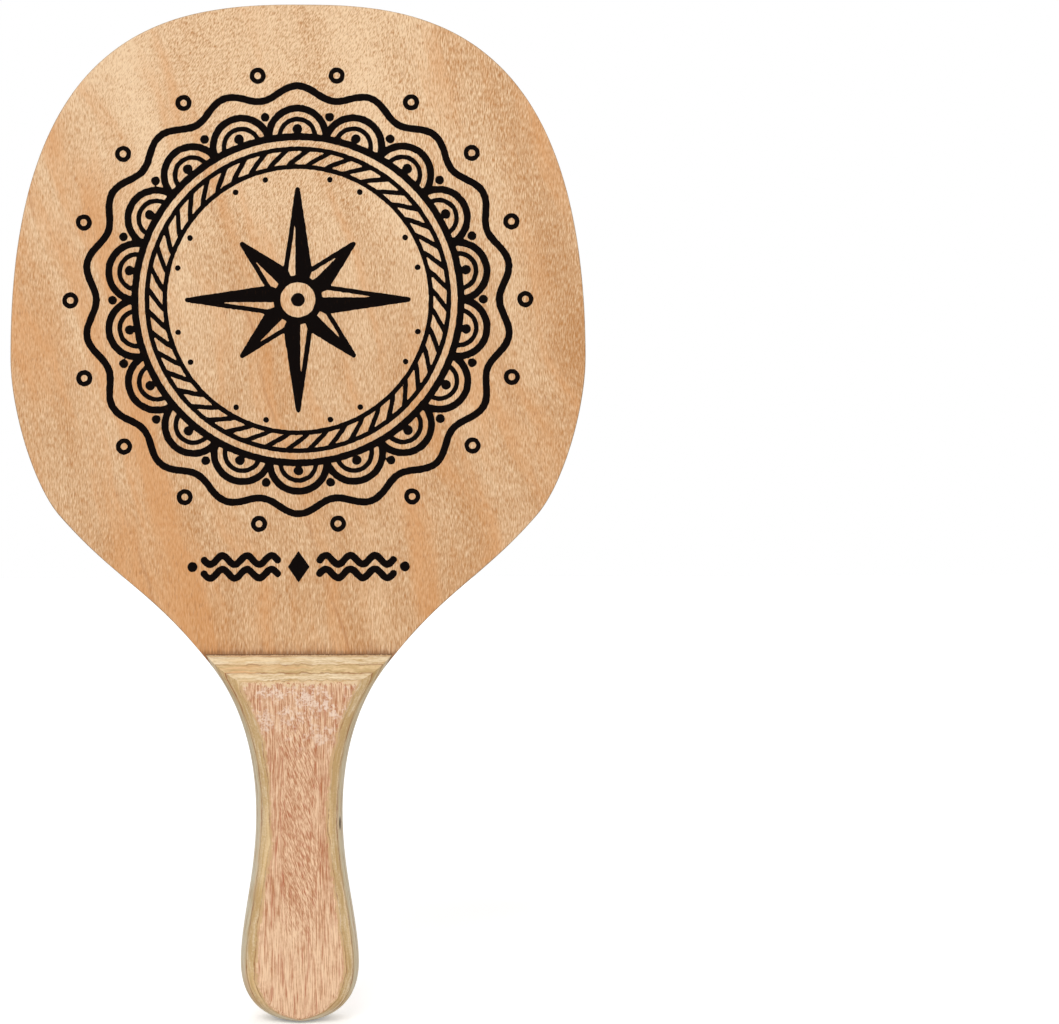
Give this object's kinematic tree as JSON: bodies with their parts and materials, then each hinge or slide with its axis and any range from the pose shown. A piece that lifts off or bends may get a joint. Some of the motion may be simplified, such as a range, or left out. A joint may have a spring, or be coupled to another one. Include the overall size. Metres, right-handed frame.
{
  "type": "frescobol racket",
  "caption": "Wooden beach racket with a thin oval plywood blade and a waisted, rounded handle of plywood grip scales on both sides.",
  "frame": {"origin": "centre of the grip, on the middle of the blade's thickness, halfway up the handle", "axes": "+Z along the racket towards the blade's tip, +Y through its thickness away from the printed face, +X across the blade"},
  "size_m": [0.2188, 0.0254, 0.386],
  "materials": {
    "blade_face_wood": "clear satin varnish",
    "grip_face_wood": "sanded",
    "pale_ply": "sanded edge",
    "tan_ply": "sanded edge"
  },
  "bodies": {
    "root": {"blade_front_veneer": "blade_face_wood", "blade_front_crossband": "pale_ply", "blade_core": "tan_ply", "blade_back_crossband": "pale_ply", "blade_back_veneer": "blade_face_wood", "front_grip_base_veneer": "tan_ply", "front_grip_inner_crossband": "pale_ply", "front_grip_core": "tan_ply", "front_grip_outer_crossband": "pale_ply", "front_grip_face_veneer": "grip_face_wood", "back_grip_base_veneer": "tan_ply", "back_grip_inner_crossband": "pale_ply", "back_grip_core": "tan_ply", "back_grip_outer_crossband": "pale_ply", "back_grip_face_veneer": "grip_face_wood"}
  },
  "joints": []
}
